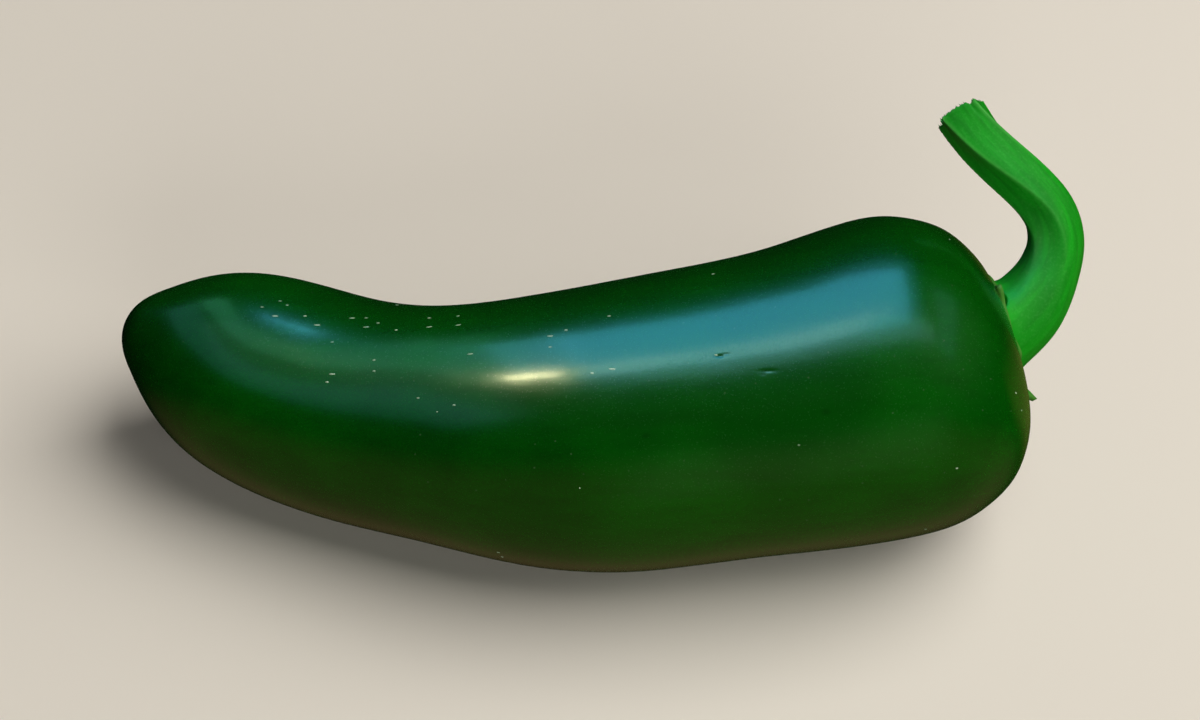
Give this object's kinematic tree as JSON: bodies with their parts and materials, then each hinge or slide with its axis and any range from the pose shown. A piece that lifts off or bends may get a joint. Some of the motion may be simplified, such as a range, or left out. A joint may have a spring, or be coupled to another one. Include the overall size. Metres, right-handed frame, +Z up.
{
  "type": "chilli pepper",
  "caption": "Whole green chilli pepper, bowed and blunt-tipped, lying on its side, with a ribbed curved stalk and a toothed calyx.",
  "frame": {"origin": "on the surface that the pepper lies on, under the middle of its bounding box", "axes": "+Z up; +X from the blossom tip to the stalk end; the fruit bows towards -Y, which is the side that the picture shows"},
  "size_m": [0.0928, 0.039, 0.0345],
  "materials": {
    "waxy_skin": "smooth, waxy, deep green",
    "green_stalk": "satin, brighter green, faintly ribbed"
  },
  "bodies": {
    "root": {"fruit": "waxy_skin", "stalk_and_calyx": "green_stalk"}
  },
  "joints": []
}
